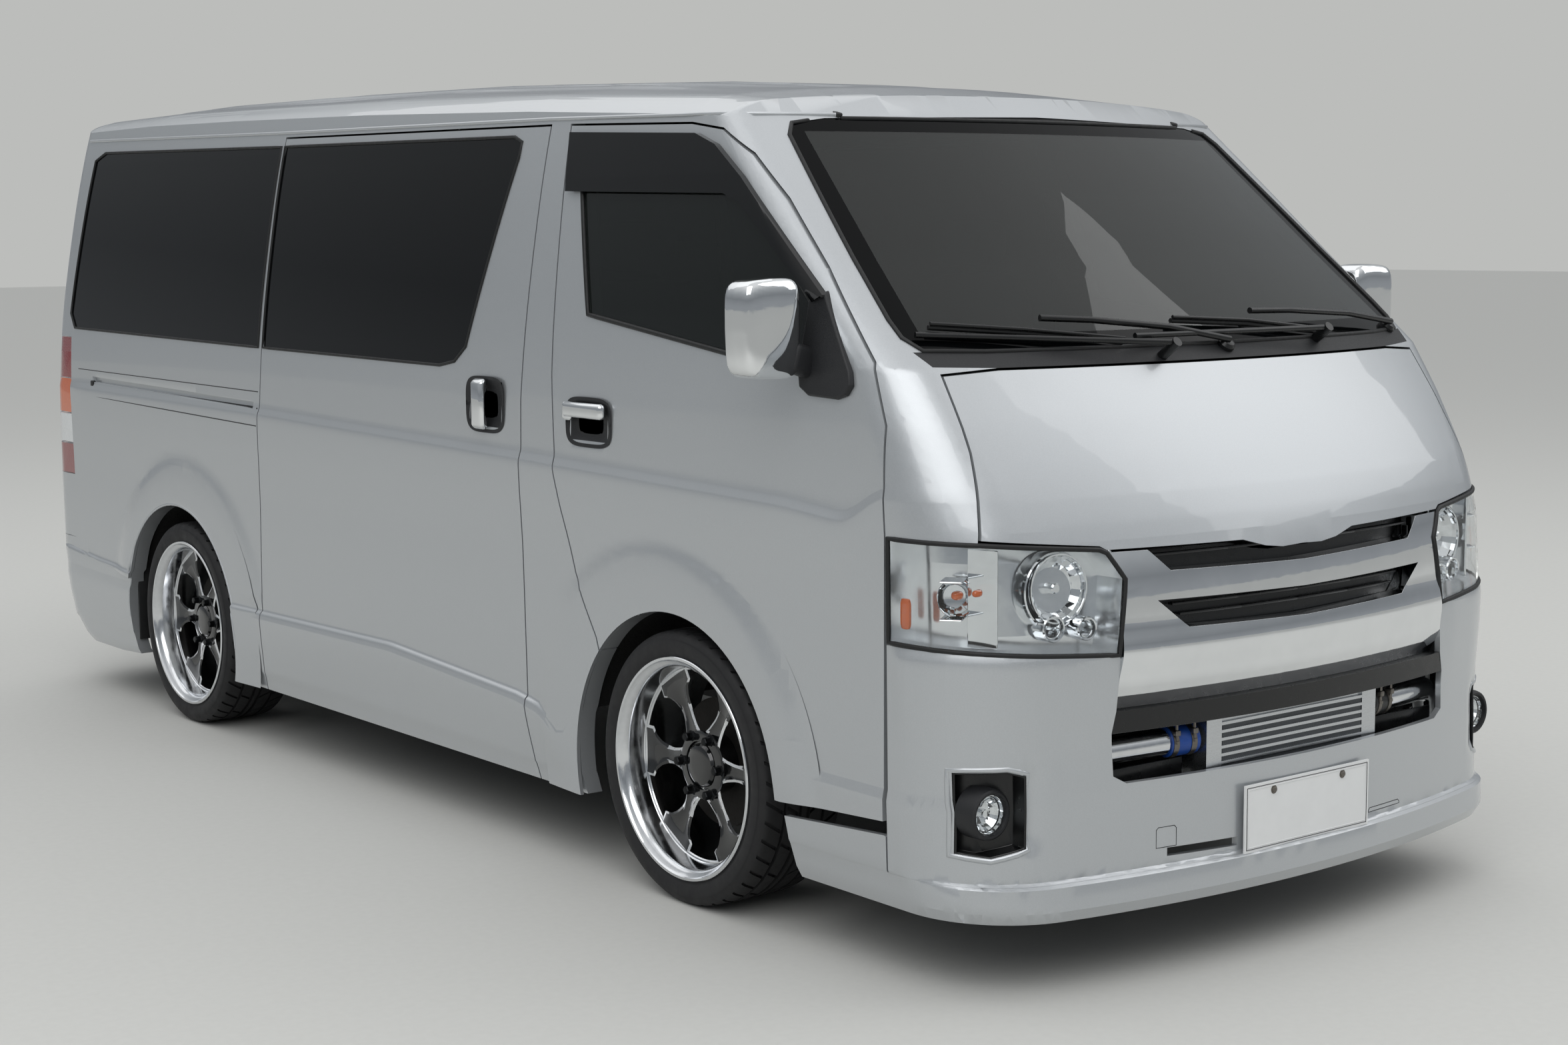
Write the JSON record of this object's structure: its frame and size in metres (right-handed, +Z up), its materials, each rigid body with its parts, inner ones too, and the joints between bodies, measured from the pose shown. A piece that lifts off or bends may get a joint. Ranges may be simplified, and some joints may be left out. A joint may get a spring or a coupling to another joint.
{
  "type": "passenger van",
  "caption": "Lowered cab-over passenger van with hinged front doors, a side sliding door, a lifting tailgate, steered front wheels and a front-mounted intercooler.",
  "frame": {"origin": "under the middle of the bounding box, on the ground", "axes": "+Z up, the front faces -Y, +X is the vehicle's left"},
  "size_m": [2.022, 4.7098, 1.9009],
  "materials": {
    "floor": "matt underseal",
    "roof": "metallic gloss",
    "side_right": "metallic gloss",
    "side_left": "metallic gloss",
    "wings": "metallic gloss",
    "bonnet": "metallic gloss",
    "cowl": "grained",
    "windscreen": "clear",
    "headlamp_lenses": "clear",
    "headlamp_housings": "bright reflector",
    "grille": "mirror bright",
    "grille_backing": "satin",
    "lower_band": "satin",
    "front_bumper": "metallic gloss",
    "front_lip": "metallic gloss",
    "door_right": "metallic gloss",
    "door_glass_right": "dark tint",
    "door_left": "metallic gloss",
    "door_glass_left": "dark tint",
    "sliding_door": "metallic gloss",
    "sliding_door_glass": "dark tint",
    "side_glass": "dark tint",
    "tailgate": "metallic gloss",
    "tailgate_glass": "dark tint",
    "tail_lamps": "clear gloss",
    "rear_bumper": "metallic gloss",
    "dashboard": "grained",
    "steering_wheel": "grained",
    "front_seats": "woven",
    "rear_seats": "woven",
    "number_plate": "satin white",
    "intercooler": "brushed",
    "intercooler_pipes": "polished",
    "fog_lamps": "satin black",
    "visor_right": "smoked",
    "visor_left": "smoked",
    "mirror_right": "mirror bright",
    "mirror_left": "mirror bright",
    "wipers": "satin",
    "engine": "cast",
    "chassis_frame": "satin black",
    "knuckle_right": "cast",
    "knuckle_left": "cast",
    "rear_axle": "painted black",
    "exhaust": "dull",
    "fuel_tank": "satin black",
    "tyre_front_right": "tread",
    "rim_front_right": "gloss black with a polished lip",
    "tyre_rear_right": "tread",
    "rim_rear_right": "gloss black with a polished lip",
    "tyre_front_left": "tread",
    "rim_front_left": "gloss black with a polished lip",
    "tyre_rear_left": "tread",
    "rim_rear_left": "gloss black with a polished lip"
  },
  "bodies": {
    "body": {"floor": "floor", "roof": "roof", "side_right": "side_right", "side_left": "side_left", "wings": "wings", "cowl": "cowl", "windscreen": "windscreen", "headlamp_lenses": "headlamp_lenses", "headlamp_housings": "headlamp_housings", "grille": "grille", "grille_backing": "grille_backing", "lower_band": "lower_band", "front_bumper": "front_bumper", "front_lip": "front_lip", "sliding_door": "sliding_door", "sliding_door_glass": "sliding_door_glass", "side_glass": "side_glass", "tail_lamps": "tail_lamps", "rear_bumper": "rear_bumper", "dashboard": "dashboard", "front_seats": "front_seats", "rear_seats": "rear_seats", "number_plate": "number_plate", "intercooler": "intercooler", "intercooler_pipes": "intercooler_pipes", "fog_lamps": "fog_lamps", "wipers": "wipers", "engine": "engine", "chassis_frame": "chassis_frame", "rear_axle": "rear_axle", "exhaust": "exhaust", "fuel_tank": "fuel_tank"},
    "door_right": {"door_right": "door_right", "door_glass_right": "door_glass_right", "visor_right": "visor_right", "mirror_right": "mirror_right"},
    "door_left": {"door_left": "door_left", "door_glass_left": "door_glass_left", "visor_left": "visor_left", "mirror_left": "mirror_left"},
    "bonnet": {"bonnet": "bonnet"},
    "tailgate": {"tailgate": "tailgate", "tailgate_glass": "tailgate_glass"},
    "steering_wheel": {"steering_wheel": "steering_wheel"},
    "knuckle_right": {"knuckle_right": "knuckle_right"},
    "knuckle_left": {"knuckle_left": "knuckle_left"},
    "wheel_front_right": {"tyre_front_right": "tyre_front_right", "rim_front_right": "rim_front_right"},
    "wheel_front_left": {"tyre_front_left": "tyre_front_left", "rim_front_left": "rim_front_left"},
    "wheel_rear_right": {"tyre_rear_right": "tyre_rear_right", "rim_rear_right": "rim_rear_right"},
    "wheel_rear_left": {"tyre_rear_left": "tyre_rear_left", "rim_rear_left": "rim_rear_left"}
  },
  "joints": [
    {"name": "door_right_hinge", "type": "hinge", "parent": "body", "child": "door_right", "pos_m": [-0.846, -1.9885, 0.8], "axis": [0, 0, 1], "range_deg": [0, 65]},
    {"name": "door_left_hinge", "type": "hinge", "parent": "body", "child": "door_left", "pos_m": [0.846, -1.9885, 0.8], "axis": [0, 0, -1], "range_deg": [0, 65]},
    {"name": "bonnet_hinge", "type": "hinge", "parent": "body", "child": "bonnet", "pos_m": [0, -2.118, 1.2], "axis": [-1, 0, 0], "range_deg": [0, 60]},
    {"name": "tailgate_hinge", "type": "hinge", "parent": "body", "child": "tailgate", "pos_m": [0, 2.214, 1.782], "axis": [1, 0, 0], "range_deg": [0, 85]},
    {"name": "steer_left", "type": "hinge", "parent": "body", "child": "knuckle_left", "pos_m": [0.672, -1.28, 0.306], "axis": [0, 0, 1], "range_deg": [-35, 35]},
    {"name": "steer_right", "type": "hinge", "parent": "body", "child": "knuckle_right", "pos_m": [-0.672, -1.28, 0.306], "axis": [0, 0, 1], "range_deg": [-35, 35]},
    {"name": "steering_wheel_turn", "type": "hinge", "parent": "body", "child": "steering_wheel", "pos_m": [0.37, -1.57, 1.115], "axis": [0, 0.5736, 0.8191], "range_deg": [-640, 640]},
    {"name": "spin_front_right", "type": "hinge", "parent": "knuckle_right", "child": "wheel_front_right", "pos_m": [-0.7255, -1.28, 0.306], "axis": [1, 0, 0], "continuous": true},
    {"name": "spin_front_left", "type": "hinge", "parent": "knuckle_left", "child": "wheel_front_left", "pos_m": [0.7255, -1.28, 0.306], "axis": [1, 0, 0], "continuous": true},
    {"name": "spin_rear_right", "type": "hinge", "parent": "body", "child": "wheel_rear_right", "pos_m": [-0.7255, 1.29, 0.306], "axis": [1, 0, 0], "continuous": true},
    {"name": "spin_rear_left", "type": "hinge", "parent": "body", "child": "wheel_rear_left", "pos_m": [0.7255, 1.29, 0.306], "axis": [1, 0, 0], "continuous": true}
  ],
  "couplings": [
    {"joint": "steer_right", "follows": "steer_left", "ratio": 1},
    {"joint": "steering_wheel_turn", "follows": "steer_left", "ratio": 18}
  ]
}
